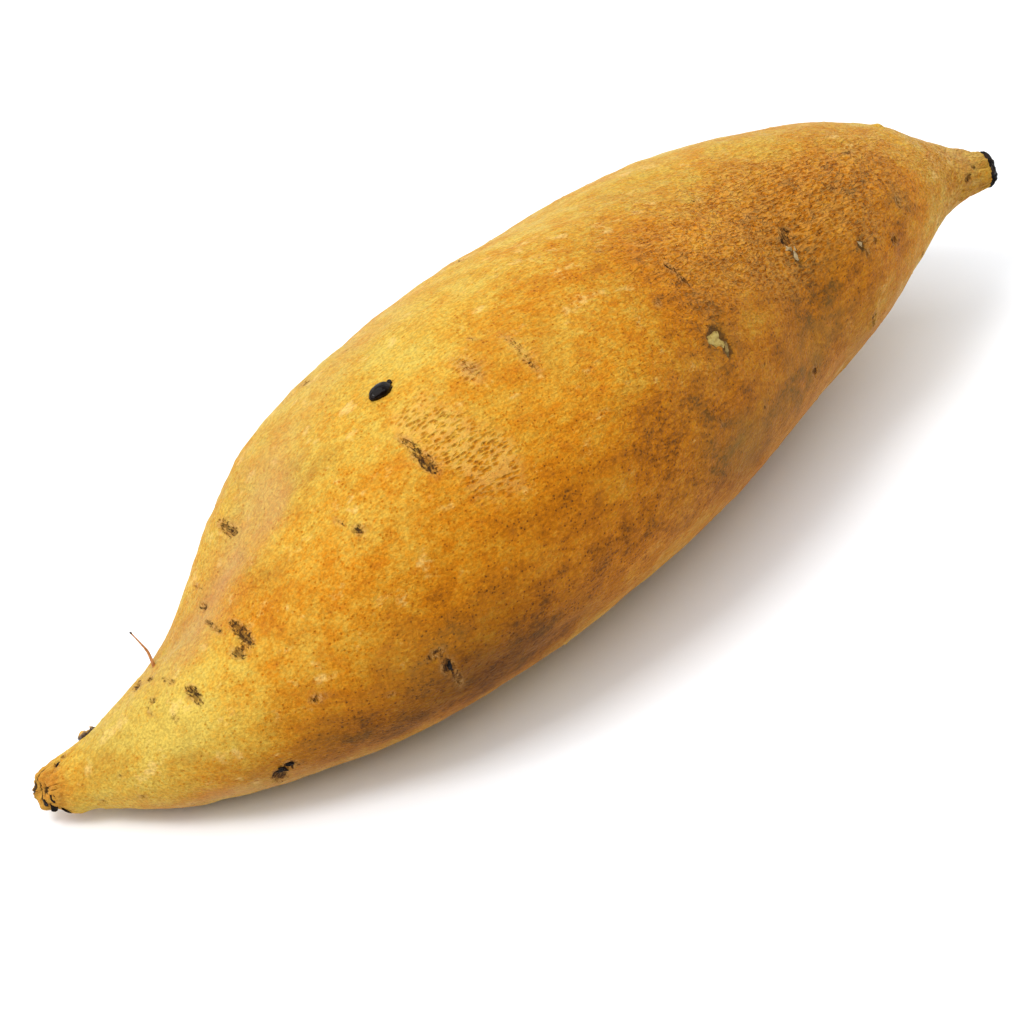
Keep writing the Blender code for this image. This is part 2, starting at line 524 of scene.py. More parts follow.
# %% Scars and scabs
SCARS = (  # place, angle, reach along and round in mm, strength
    (0.121, 111, 0.75, 1.7, 1.0), (0.121, 120, 0.5, 1.3, 0.7), (0.104, 120, 0.5, 1.1, 0.6),
    (0.159, 110, 0.9, 1.2, 1.1), (0.170, 106, 0.8, 1.9, 1.15), (0.170, 97, 0.6, 1.5, 0.8),
    (0.1600, 90, 0.5, 1.2, 0.7), (0.1605, 81, 0.5, 1.3, 0.75), (0.166, 65, 0.7, 1.2, 0.95),
    (0.175, 53, 0.5, 1.7, 0.55), (0.218, 58, 0.9, 1.0, 0.7), (0.220, 53, 0.7, 1.7, 0.85),
    (0.253, 111, 0.8, 1.3, 0.9), (0.251, 103, 0.5, 1.5, 0.55), (0.307, 110, 0.8, 2.0, 0.95),
    (0.309, 102, 0.6, 1.7, 0.75), (0.305, 114, 0.6, 1.0, 0.7), (0.377, 99, 1.0, 2.6, 0.5),
    (0.396, 92, 0.5, 0.5, 0.85), (0.405, 110, 0.8, 2.2, 0.55), (0.410, 102, 0.8, 2.2, 0.6),
    (0.328, 50, 0.7, 1.7, 0.6), (0.362, 55, 0.7, 1.3, 0.5), (0.481, 55, 0.9, 2.1, 0.75),
    (0.137, 200, 0.8, 2.0, 1.1), (0.138, 193, 0.6, 1.5, 0.8), (0.146, 187, 0.8, 1.1, 1.15),
    (0.244, 174, 0.8, 1.9, 1.15), (0.246, 184, 0.6, 2.0, 0.7), (0.241, 165, 1.2, 0.9, 0.7),
    (0.178, 152, 0.8, 0.9, 0.6), (0.210, 171, 0.6, 0.6, 0.7), (0.068, 184, 0.5, 0.7, 0.6),
    (0.092, 103, 0.4, 1.1, 0.6), (0.097, 96, 0.5, 0.8, 0.6), (0.114, 93, 0.5, 1.2, 0.65),
    (0.110, 86, 0.4, 0.7, 0.6), (0.093, 64, 0.9, 1.6, 0.9), (0.103, 74, 0.6, 1.1, 0.65),
    (0.022, 82, 0.5, 0.7, 1.0), (0.029, 77, 0.4, 0.7, 0.9), (0.045, 190, 0.5, 0.7, 0.5),
    (0.515, 163, 0.6, 0.7, 0.85), (0.664, 178, 1.2, 1.0, 0.95), (0.774, 185, 0.8, 1.6, 0.9),
    (0.695, 129, 1.2, 1.2, 1.1), (0.703, 126, 1.4, 0.7, 0.8), (0.778, 152, 0.8, 0.6, 0.85),
    (0.795, 150, 0.7, 0.8, 0.9), (0.818, 157, 0.9, 0.9, 0.95), (0.838, 142, 0.9, 1.2, 0.6),
    (0.556, 119, 0.5, 1.8, 0.75), (0.554, 113, 0.5, 1.2, 0.65), (0.517, 120, 0.6, 0.6, 0.7),
    (0.524, 95, 0.7, 0.5, 0.65), (0.635, 95, 0.9, 0.5, 0.7), (0.645, 98, 0.6, 0.4, 0.6),
    (0.873, 195, 0.9, 1.4, 0.95), (0.905, 180, 0.5, 0.7, 0.6), (0.582, 158, 1.1, 0.6, 0.5),
    (0.570, 170, 0.7, 0.6, 0.6), (0.675, 115, 0.9, 0.6, 0.6), (0.780, 120, 0.9, 0.5, 0.65),
    (0.822, 106, 1.2, 0.6, 0.65), (0.610, 168, 0.9, 0.6, 0.45), (0.860, 150, 0.6, 0.6, 0.5),
    (0.964, 150, 0.9, 1.1, 0.8), (0.972, 128, 0.6, 0.6, 0.7), (0.060, 150, 0.4, 0.5, 0.5),
    # the far side and the underside
    (0.143, 341, 0.7, 1.4, 0.9), (0.152, 349, 0.6, 1.9, 1.1), (0.212, 356, 0.6, 1.1, 0.6),
    (0.290, 338, 0.9, 2.9, 1.05), (0.297, 351, 0.6, 1.2, 0.7), (0.448, 359, 0.7, 1.5, 0.6),
    (0.548, 340, 0.9, 2.3, 0.95), (0.556, 349, 0.6, 1.0, 0.7), (0.668, 357, 0.7, 1.2, 0.6),
    (0.705, 344, 0.8, 2.0, 1.0), (0.812, 336, 0.7, 1.2, 0.8), (0.168, 256, 0.8, 1.2, 0.7),
    (0.314, 296, 0.8, 2.8, 1.05), (0.322, 308, 0.6, 1.2, 0.75), (0.452, 311, 0.6, 1.3, 0.65),
    (0.604, 290, 0.9, 2.0, 0.9), (0.611, 301, 0.8, 2.6, 1.05), (0.766, 309, 0.7, 1.1, 0.7),
    (0.872, 294, 0.7, 1.4, 0.9), (0.262, 236, 0.7, 1.6, 0.75), (0.408, 221, 0.9, 2.6, 0.95),
    (0.571, 238, 0.8, 1.5, 0.8), (0.702, 226, 0.8, 2.2, 0.9), (0.838, 246, 0.7, 1.1, 0.7),
    (0.366, 8, 0.7, 1.3, 0.65), (0.488, 21, 0.8, 2.3, 0.9), (0.497, 12, 0.6, 1.1, 0.7),
    (0.652, 10, 0.7, 1.6, 0.8), (0.747, 26, 0.7, 1.1, 0.65), (0.238, 24, 0.8, 1.9, 0.8),
)
SCABS = (  # place, angle, reach along and round in mm, depth
    (0.544, 140, 1.9, 1.5, 1.0), (0.550, 146, 0.9, 1.3, 0.9), (0.697, 137, 0.9, 1.5, 0.7),
    (0.773, 147, 0.8, 1.0, 0.8), (0.560, 330, 1.6, 1.4, 0.9), (0.300, 285, 1.2, 1.5, 0.8),
)

ragged = layered(form, (0.0012, 0.0009, 0.0009), 61, 2)
scar = bells(SCARS)
scab = bells(SCABS)
cleft = smooth_step(scar + 0.25 * ragged, 0.35, 0.75)
lips = smooth_step(scar + 0.25 * ragged, 0.10, 0.30) - cleft
scab_dent = smooth_step(scab + 0.15 * ragged, 0.30, 0.50)
scab_rim = smooth_step(scab + 0.15 * ragged, 0.10, 0.24) - scab_dent
scar_height = MM * (0.10 * lips - 0.30 * cleft + 0.10 * scab_rim - 0.28 * scab_dent)
print("scars:", len(SCARS), "scabs:", len(SCABS))

# %% [markdown]
# ## The two ends
#
# The root end was pulled off its thin tail, so it is a blunt stub with splits and a
# slanting torn face, where the ends of the fibres show as dark streaks. The stem end is a
# short neck that was cut and then burnt in the oven. Both get their splits from noise that
# changes fast round the root and slowly along it.

# %% Torn ends
FACE_EDGE = (3.6 * MM, 2.2 * MM)  # over the skin from the tip, where the torn face fades in
FACE_FIBRES = (0.0020, 0.0034, 0.0010)
FIBRE_DEPTH = 0.28 * MM
LEDGE = (  # place, angle, reach along and round in mm, height: low above, with a lip left below
    (0.028, 238, 1.6, 2.2, 0.9), (0.024, 205, 1.4, 1.6, 0.5),
    (0.003, 95, 3.0, 2.6, -1.1), (0.003, 225, 1.6, 2.0, 0.5),
)
root_end = smooth_step(along, 0.034, 0.010)
stem_end = smooth_step(along, 0.955, 0.985)
tube_places = on_a_tube(30, 1.0)
splits = np.exp(-((noise(tube_places, (0.9, 0.36, 0.36), 71) / 0.075) ** 2))
splits += 0.6 * np.exp(-((noise(tube_places, (0.5, 0.20, 0.20), 75) / 0.08) ** 2))
torn = layered(form, 2.1 * MM, 79)
end_height = root_end * (0.40 * torn - 0.30 * splits) + stem_end * (0.12 * torn - 0.15 * splits)
end_height = MM * (end_height + bells(LEDGE))

row_steps = np.linalg.norm(np.diff(form, axis=0), axis=-1).mean(axis=1)
to_root = np.insert(np.cumsum(row_steps), 0, 0.0)[:, None]
torn_face = smooth_step(to_root + 0.8 * MM * torn, *FACE_EDGE)
slanting = np.stack([form[..., 0], form[..., 1] + form[..., 2], form[..., 1] - form[..., 2]], -1)
fibres_there = smooth_step(noise(slanting, FACE_FIBRES, 83), -0.25, 0.15)
end_height -= FIBRE_DEPTH * torn_face * fibres_there
split_mask = (root_end * splits + torn_face * fibres_there).clip(0, 1)
print("deepest split, mm:", round(float(-end_height.min()) / MM, 2))

# %% [markdown]
# ## Put the skin together
#
# All heights are added up and pushed out along the normals. Where the root rests, its own
# weight has pressed it flat, so nothing may go below the floor: the grid is cut off at
# height 0, as the model is. The end rows are single points, so they take one height.

# %% Displace the grid
height = broad + wrinkle_height + scar_height + end_height
height[0] = height[0].mean()
height[-1] = height[-1].mean()
skin = form + form_normals * height[..., None]
skin[..., 2] = skin[..., 2].clip(0, None)
print("skin box, mm:", np.round(np.ptp(skin.reshape(-1, 3), axis=0) / MM, 1))

# %% [markdown]
# A grid becomes a closed mesh with four-cornered faces between its rows and a fan of
# triangles at each end. A face's corners are places in the grid, and the same places make
# a map of the skin, unrolled along its length. The sign of the enclosed volume tells
# whether the faces point outwards.

# %% Turn closed grids into meshes
def face_places(rows, columns):
    """The corners of every face as row and column in the grid: four-cornered ones between
    the rows, then a fan at each end. A fan's tip lies between its two columns."""
    row, column = np.meshgrid(np.arange(1, rows - 2), np.arange(columns), indexing="ij")
    row, column = row.ravel(), column.ravel()
    spoke = np.arange(columns)
    corners = (
        ((row, column), (row, column + 1), (row + 1, column + 1), (row + 1, column)),
        ((0, spoke + 0.5), (1, spoke + 1), (1, spoke)),
        ((rows - 1, spoke + 0.5), (rows - 2, spoke), (rows - 2, spoke + 1)),
    )
    return [
        np.stack([np.stack(np.broadcast_arrays(*place), -1) for place in places], 1)
        for places in corners
    ]


def closed_surface(name, grid):
    """A closed mesh from a grid whose first and last rows are each one point, unrolled as
    a map with the rows across it and the columns up it."""
    rows, columns = grid.shape[:2]
    points = np.concatenate([grid[:1, 0], grid[1:-1].reshape(-1, 3), grid[-1:, 0]])
    places = face_places(rows, columns)
    # Points are numbered row by row, and every place in an end row has that end's one point.
    last = len(points) - 1
    faces = [
        (1 + (part[..., 0] - 1) * columns + part[..., 1] % columns // 1).clip(0, last).astype(int)
        for part in places
    ]
    a, b, c, d = (points[faces[0][:, corner]] for corner in range(4))
    volume = (a * np.cross(b, c)).sum() + (a * np.cross(c, d)).sum()
    if volume < 0:
        faces = [part[:, ::-1] for part in faces]
        places = [part[:, ::-1] for part in places]
    mesh = bpy.data.meshes.new(name)
    mesh.from_pydata(points.tolist(), [], sum((part.tolist() for part in faces), []))
    unrolled = np.concatenate([part.reshape(-1, 2) for part in places]) / (rows - 1, columns)
    mesh.uv_layers.new(name="OFBake").uv.foreach_set("vector", unrolled.astype(np.float32).ravel())
    mesh.shade_smooth()
    piece = bpy.data.objects.new(name, mesh)
    bpy.context.scene.collection.objects.link(piece)
    print(name, "has", sum(len(part) * (part.shape[1] - 2) for part in faces), "triangles")
    return piece


def store(piece, name, values):
    """Keeps one number for each point of a closed grid, for the material to read."""
    flat = np.concatenate([values[0, :1], values[1:-1].ravel(), values[-1, :1]])
    kept = piece.data.attributes.new(name, "FLOAT", "POINT")
    kept.data.foreach_set("value", flat.astype(np.float32))


skin_piece = closed_surface("potato_skin", skin)
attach(skin_piece, "root")
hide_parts("sweet_potato")

# %% [markdown]
# ## Small lumps that sit on the skin
#
# Syrup boils out of a baking root, sets in beads and burns. Flakes of cork lie in the old
# wounds. All of these are one idea: a lump with a flat side down, seated in the skin's own
# directions at its place, with a wavy outline and noise over it. A thick one is a bead and
# a thin one is a flake. Each is a closed mesh, sunk a little so that no gap shows.

# %% A lump seated on the skin
skin_normals = normals_of(skin)


def seat(place, angle):
    """The skin's point at a place, and its directions lengthwise, round and outwards."""
    row = int(np.abs(along[:, 0] - place).argmin())
    column = int(round(angle / 360 * COLUMNS)) % COLUMNS
    outwards = skin_normals[row, column]
    lengthwise = form[row + 2, column] - form[row - 2, column]
    lengthwise = unit(lengthwise - outwards * (lengthwise @ outwards))
    return skin[row, column], lengthwise, np.cross(outwards, lengthwise), outwards


def lump(place, angle, size, sink, seed, wave, rough, turn, dent=0.0, rows=32, columns=56):
    """A closed grid from the lump's top to its underside. With q the angle down from the
    top and w the angle round it, a point is sin(q) times the size times the outline across
    the skin, and cos(q) times the thickness out of it. The outline is 1 + depth cos(points
    w), with a weaker wave of two more points, and noise makes every reach longer or
    shorter. A dent is a bell taken out of the top, so a deep one leaves a ring. Sizes are
    half sizes, in mm. The second grid grows from 0 on top to 1 at the rim."""
    point, lengthwise, crosswise, outwards = seat(place, angle)
    wave_points, wave_depth = wave
    down = np.linspace(0, math.pi, rows)[:, None]
    around = np.arange(columns)[None] * 2 * math.pi / columns
    ball = (np.sin(down) * np.cos(around), np.sin(down) * np.sin(around), np.cos(down))
    shape = np.stack(np.broadcast_arrays(*ball), -1)
    reach = 1 + rough * layered(shape + seed * 3.7, 0.75, seed, 3)
    reach[0] = reach[0].mean()
    reach[-1] = reach[-1].mean()
    outline = 1 + wave_depth * np.cos(wave_points * around + seed)
    outline = outline + 0.5 * wave_depth * np.cos((wave_points + 2) * around)
    across = shape[..., :2] * (outline * reach)[..., None] * np.array(size[:2])
    out = shape[..., 2] * reach * size[2] - sink
    out -= dent * np.exp(-((np.sin(down) / 0.5) ** 2)) * (shape[..., 2] > 0)
    lean = math.radians(turn)
    first = across[..., 0] * math.cos(lean) - across[..., 1] * math.sin(lean)
    second = across[..., 0] * math.sin(lean) + across[..., 1] * math.cos(lean)
    offsets = first[..., None] * lengthwise + second[..., None] * crosswise + out[..., None] * outwards
    return point + MM * offsets, np.sin(down) + 0 * around


small_pieces = {}


def add_lump(name, slot, *shape, **fineness):
    """A lump as a finished piece that rides on the root, with its rim kept for the paint."""
    grid, rim = lump(*shape, **fineness)
    piece = closed_surface(name, grid)
    store(piece, "rim", rim)
    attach(piece, "root")
    small_pieces[name] = piece


# %% [markdown]
# The black bead is the largest drop of syrup, with crumbs beside it where it burst. Near
# the root end a smaller drop stayed amber. The burnt ring and flecks are black spots where
# syrup soaked into the torn end and into the deepest scars.

# %% Beads and flecks
# name: place, angle, half sizes in mm, sink in mm, seed, points and depth of the outline's
# wave, roughness, turn in degrees, and dent in mm
BEADS = {
    "syrup_bead": (0.331, 82, (1.95, 1.32, 0.95), -0.22, 3, (3, 0.03), 0.07, -10, 0.0),
    "syrup_crumb_1": (0.3395, 81.0, (0.62, 0.44, 0.42), 0.02, 5, (3, 0.10), 0.20, 30, 0.0),
    "syrup_crumb_2": (0.3350, 84.2, (0.60, 0.34, 0.24), 0.06, 6, (2, 0.15), 0.20, -10, 0.0),
    "amber_bead": (0.046, 48, (0.95, 0.90, 0.95), 0.10, 8, (2, 0.08), 0.16, 0, 0.0),
    "amber_lobe": (0.0490, 50, (0.60, 0.55, 0.60), 0.08, 10, (2, 0.10), 0.20, 0, 0.0),
    "amber_crumb": (0.0535, 47, (0.42, 0.36, 0.72), 0.05, 9, (2, 0.20), 0.40, 0, 0.0),
    "burnt_ring": (0.0110, 170, (0.42, 0.86, 0.34), 0.08, 12, (2, 0.08), 0.16, 14, 0.34),
    "burnt_fleck_1": (0.0060, 192, (0.30, 0.95, 0.18), 0.04, 13, (3, 0.14), 0.22, 10, 0.0),
    "burnt_fleck_2": (0.0110, 208, (0.50, 0.95, 0.20), 0.06, 14, (3, 0.12), 0.20, 15, 0.0),
    "burnt_fleck_3": (0.0190, 220, (0.80, 0.50, 0.20), 0.06, 17, (2, 0.12), 0.20, 0, 0.0),
    "burnt_fleck_4": (0.0230, 82, (0.50, 0.42, 0.24), 0.06, 18, (2, 0.20), 0.40, 0, 0.0),
    "burnt_fleck_5": (0.1400, 189, (0.85, 0.75, 0.42), 0.12, 15, (3, 0.25), 0.50, 20, 0.0),
    "burnt_fleck_6": (0.1460, 187, (0.50, 0.65, 0.36), 0.10, 19, (2, 0.25), 0.50, -20, 0.0),
    "burnt_fleck_7": (0.2440, 174, (0.45, 0.95, 0.32), 0.12, 16, (3, 0.20), 0.50, 10, 0.0),
}
for name, shape in BEADS.items():
    add_lump(name, "char" if "burnt" in name else "sap", *shape)

# %% [markdown]
# A flake is the same lump made thin, with a deeper wave in its outline. Its rim is kept as
# a number for each point, so that its material can darken the broken edge.

# %% Cork flakes
FLAKES = {
    "cork_flake_1": (0.5440, 139.8, (2.40, 1.30, 0.30), 0.10, 21, (3, 0.24), 0.30, -36),
    "cork_flake_2": (0.5490, 146.0, (0.60, 1.05, 0.26), 0.12, 22, (2, 0.25), 0.35, -30),
    "cork_flake_3": (0.6970, 137.0, (0.80, 1.45, 0.28), 0.12, 23, (2, 0.10), 0.25, -8),
    "cork_flake_4": (0.6925, 133.5, (0.50, 0.45, 0.26), 0.08, 27, (2, 0.20), 0.40, 0),
    "cork_flake_5": (0.7730, 147.0, (0.55, 0.95, 0.26), 0.12, 24, (3, 0.20), 0.35, 0),
    "cork_flake_6": (0.5600, 330.0, (1.60, 1.20, 0.30), 0.12, 25, (3, 0.24), 0.30, 50),
    "cork_flake_7": (0.3000, 285.0, (0.90, 1.30, 0.28), 0.12, 26, (4, 0.20), 0.30, 0),
}
for name, shape in FLAKES.items():
    add_lump(name, "skin", *shape, rows=28, columns=72)

# %% [markdown]
# ## The burnt stem end
#
# The cut end of the stem burns first. Its crust is a cap over the last few millimetres of
# the neck: the skin's own surface, pushed out by a thin lumpy layer, with a jagged edge
# that is tucked in under the skin. Distance is measured over the skin from the middle of
# the cut face, so the cap runs round the corner of the stub without a seam. A low bulge
# runs round that corner.

# %% Burnt crust
CRUST_ROWS = 70
CRUST_REACH = 3.5 * MM  # over the skin, from the middle of the cut face to the crust's edge
CRUST_JAGGED = 0.45 * MM
CRUST_THICKNESS = 0.26 * MM
BULGE = 0.10 * MM
BULGE_PLACE = 2.9 * MM
BULGE_REACH = 0.7 * MM

steps = np.linalg.norm(np.diff(skin, axis=0), axis=-1).mean(axis=1)
to_stem = np.append(np.cumsum(steps[::-1])[::-1], 0.0)


def over_skin(grid, distance):
    """Points of a grid at a distance from the stem end's middle, blended between rows."""
    rows = np.interp(distance, to_stem[::-1], np.arange(ROWS)[::-1]).clip(0, ROWS - 1.001)
    low = np.floor(rows).astype(int)
    part = (rows - low)[..., None]
    columns = np.arange(COLUMNS)[None]
    return grid[low, columns] * (1 - part) + grid[low + 1, columns] * part


ring = np.stack([np.cos(np.radians(degrees[0])), np.sin(np.radians(degrees[0])), 0 * degrees[0]], -1)
jagged = layered(ring, 0.55, 301, 4)[None]
inwards = np.linspace(0, 1, CRUST_ROWS)[:, None]
crust_distance = (CRUST_REACH + CRUST_JAGGED * jagged) * (1 - inwards)
crust_base = over_skin(skin, crust_distance)
crust_out = unit(over_skin(skin_normals, crust_distance))
blisters = layered(crust_base, 0.0011, 311, 3)
tuck = 0.5 * (inwards < 0.01)  # the first ring lies under the skin
thickness = CRUST_THICKNESS * (smooth_step(inwards, 0.0, 0.14) * (1.0 + 0.5 * blisters) - tuck)
thickness += BULGE * np.exp(-(((crust_distance - BULGE_PLACE) / BULGE_REACH) ** 2))
thickness[-1] = thickness[-1].mean()
crust = crust_base + crust_out * thickness[..., None]
tucked = crust[0].mean(axis=0)
crust = np.concatenate([np.repeat(tucked[None, None], COLUMNS, 1), crust])
crust[-1] = crust[-1].mean(axis=0)
crust_piece = closed_surface("stem_crust", crust)
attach(crust_piece, "root")

# %% [markdown]
# ## A dry root hair
#
# One fine side root is left near the pointed end. It rises from the skin, kinks where it
# dried, and ends in a tiny dark knob. It is a tube: a ring carried along a path, with a
# radius that shrinks on the way.

# %% Root hair
HAIR_BASE = (0.110, 60)
HAIR_POINTS = 60
HAIR_COLUMNS = 14
HAIR_STEPS = MM * np.array((  # from its foot
    (0.0, 0.0, -0.5), (0.02, 0.45, 0.35), (0.12, 1.20, 1.05), (0.16, 1.60, 1.60),
    (-0.10, 2.45, 2.35), (-0.38, 3.45, 3.10), (-0.62, 4.63, 3.80),
))
HAIR_RADII = MM * np.array((0.30, 0.26, 0.21, 0.23, 0.15, 0.12, 0.11))
KNOB = 0.07 * MM


def smooth_path(points, count):
    """A curve near given points: cubic B-spline weights again, with both ends held."""
    held = np.concatenate([2 * points[:1] - points[1:2], points, 2 * points[-1:] - points[-2:-1]])
    places = np.linspace(1, len(held) - 2 - SHORT_OF, count)
    return spline_weights(places, len(held), False) @ held


def tube(path, radii, columns):
    """A ring carried along a path: radius times cos and sin of the angle along two
    directions that are square to the path. Both ends close at a point, the last one a
    little beyond the path."""
    ahead = unit(np.gradient(path, axis=0))
    side = unit(np.cross(ahead, [1.0, 0.0, 0.0]))
    up = np.cross(ahead, side)
    around = (np.arange(columns) * 2 * math.pi / columns)[:, None]
    circle = np.cos(around) * side[:, None] + np.sin(around) * up[:, None]
    rings = path[:, None] + radii[:, None, None] * circle
    tip = path[-1] + ahead[-1] * radii[-1]
    foot_row, tip_row = (np.repeat(point[None, None], columns, 1) for point in (path[0], tip))
    return np.concatenate([foot_row, rings, tip_row])


hair_path = seat(*HAIR_BASE)[0] + smooth_path(HAIR_STEPS, HAIR_POINTS)
hair_share = np.linspace(0, 1, HAIR_POINTS)
hair_radii = smooth_path(HAIR_RADII[:, None], HAIR_POINTS)[:, 0]
hair_radii = hair_radii + KNOB * np.exp(-(((hair_share - 0.985) / 0.02) ** 2))
hair_radii += 0.015 * MM * noise(hair_share[:, None] * (30, 0, 0), 1.0, 331)
hair_piece = closed_surface("root_hair", tube(hair_path, hair_radii, HAIR_COLUMNS))
store(hair_piece, "share", np.concatenate([[0], hair_share, [1]])[:, None] * np.ones(HAIR_COLUMNS))
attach(hair_piece, "root")
print("hair length, mm:", round(float(np.linalg.norm(np.diff(hair_path, axis=0), axis=1).sum()) / MM, 1))

# %% [markdown]
# ## Where the colours go
#
# Baking does not colour a root evenly. The thin root end and the shaded dents stay yellow,
# the flanks that faced the heat turn orange and then brown, and some bruises show olive or
# pink through the skin. Part of the brown and olive on the lower flank is painted shade,
# part of the pink along the edges is a painted sheen, and one more mask paints light and
# shade. Each of these is a soft mask, placed with bells. The material adds the finer
# mottling, so the masks only say what happens where.

# %% Colour masks
# Baked browning; the rows at about 175 to 195 degrees are also painted shade on the lower flank.
TOAST_AND_PAINTED_SHADE = (  # place, angle, reach along and round in mm, amount: browner is positive
    (0.180, 92, 7, 11, 0.26), (0.180, 130, 7, 8, 0.14), (0.175, 165, 9, 8, 0.26),
    (0.245, 177, 9, 7, 0.22), (0.160, 194, 12, 6, 0.28), (0.320, 194, 20, 8, 0.26),
    (0.100, 180, 8, 7, 0.12), (0.548, 138, 7, 7, 0.10), (0.500, 165, 9, 9, 0.10),
    (0.580, 149, 4, 5, -0.12), (0.665, 146, 8, 6, 0.14), (0.698, 129, 4, 5, 0.16),
    (0.790, 121, 9, 7, 0.17), (0.840, 112, 6, 5, 0.08), (0.720, 113, 9, 4, 0.08),
    (0.875, 147, 9, 12, -0.14), (0.385, 76, 13, 6, -0.10), (0.270, 118, 4, 5, -0.20),
    (0.340, 121, 8, 8, -0.13), (0.560, 93, 8, 5, 0.12), (0.610, 98, 14, 6, 0.06),
    (0.240, 145, 6, 8, 0.06), (0.430, 150, 14, 9, 0.05), (0.740, 172, 12, 6, 0.04),
    (0.400, 178, 16, 9, 0.14), (0.230, 193, 16, 8, 0.20), (0.600, 190, 22, 9, 0.24),
    (0.620, 120, 5, 4, 0.08), (0.645, 78, 12, 5, -0.06), (0.420, 125, 16, 9, -0.15),
    (0.070, 135, 9, 9, -0.12), (0.110, 150, 7, 6, -0.12), (0.710, 134, 19, 8, 0.16),
    (0.130, 118, 7, 7, -0.06), (0.875, 125, 8, 8, 0.08), (0.020, 150, 4, 9, 0.16),
    (0.590, 145, 8, 6, -0.12),
    # the far side and the underside
    (0.300, 330, 16, 12, 0.20), (0.480, 350, 16, 10, -0.08), (0.620, 320, 14, 12, 0.26),
    (0.780, 350, 10, 8, 0.20), (0.180, 300, 9, 9, 0.22), (0.400, 270, 24, 10, 0.30),
    (0.560, 22, 16, 9, 0.12), (0.350, 20, 16, 9, -0.06), (0.720, 268, 12, 9, 0.18),
)
# Olive bruising; the rows at about 165 to 190 degrees are also painted shade on the lower flank.
OLIVE_AND_PAINTED_SHADE = (
    (0.265, 76, 4, 4, 0.60), (0.216, 92, 3.5, 3, 0.40), (0.060, 82, 4, 4, 0.35),
    (0.242, 163, 4, 4, 0.65), (0.690, 166, 14, 5, 0.50), (0.620, 170, 9, 5, 0.35),
    (0.545, 178, 9, 5, 0.45), (0.860, 166, 6, 4, 0.10), (0.838, 143, 3, 3, 0.45),
    (0.785, 150, 4, 3, 0.40), (0.548, 141, 3.5, 3.5, 0.45), (0.090, 160, 6, 4, 0.25),
    (0.058, 128, 4, 3.5, 0.40),
    (0.973, 152, 4, 4, 0.45), (0.155, 185, 6, 4, 0.30), (0.500, 172, 8, 5, 0.35),
    (0.665, 180, 4, 3, 0.45), (0.600, 184, 12, 5, 0.40), (0.725, 148, 5, 5, 0.20),
    (0.755, 186, 12, 5, 0.35),
    (0.420, 330, 12, 8, 0.35), (0.700, 300, 12, 8, 0.40), (0.260, 350, 8, 6, 0.30),
)
# Pink bruising; the rows near 55-80 and 195-215 degrees are also a painted sheen on the slanting edges.
PINK_AND_PAINTED_SHEEN = (
    (0.200, 68, 13, 4.0, 0.62), (0.145, 76, 8, 4, 0.38), (0.258, 58, 7, 4, 0.30),
    (0.110, 214, 10, 4, 0.55), (0.170, 212, 10, 4, 0.25), (0.690, 198, 16, 4, 0.22),
    (0.800, 194, 8, 4, 0.15), (0.350, 55, 12, 5, 0.25),
    (0.965, 80, 5, 4, 0.50), (0.740, 62, 16, 5, 0.20), (0.085, 66, 6, 4, 0.15),
    (0.500, 330, 18, 8, 0.35), (0.780, 260, 12, 8, 0.30),
)
PITTED = (
    (0.330, 118, 4.5, 6.0, 0.95), (0.324, 100, 4.0, 5.0, 0.8), (0.336, 128, 3.5, 4.0, 0.8),
    (0.377, 99, 2.0, 3.4, 1.0), (0.407, 106, 2.2, 5.0, 0.55), (0.560, 115, 6, 6, 0.45),
    (0.640, 110, 8, 6, 0.35), (0.253, 112, 2.5, 3.0, 0.4), (0.460, 110, 10, 9, 0.25),
    (0.480, 340, 6, 8, 0.8), (0.300, 300, 5, 6, 0.7),
)
# Near side rows that lift the colour are painted light; rows that darken it are painted shadow.
PAINTED_LIGHT_SHADE_AND_LIGHTNESS = (  # painted light and shade, most on the lower flank; far side rows only vary lightness
    (0.885, 155, 16, 13, 0.26), (0.420, 128, 16, 8, 0.12), (0.600, 111, 8, 4, 0.14),
    (0.255, 182, 13, 9, -0.40), (0.310, 198, 14, 8, -0.40), (0.180, 195, 14, 6, -0.28),
    (0.545, 184, 10, 8, -0.28), (0.150, 70, 14, 7, -0.10), (0.300, 55, 20, 8, -0.08),
    (0.450, 340, 20, 10, 0.10), (0.640, 315, 16, 10, -0.22), (0.250, 290, 12, 9, -0.25),
)
BROWNEST = 0.66
BROWN_ROOM = 0.12  # how far the brownest patches may still go beyond that


def facing(angle, width):
    """A bell round the root only: 1 where the skin faces this way, less to both sides."""
    return np.exp(-((turn_between(degrees, angle) / width) ** 2))


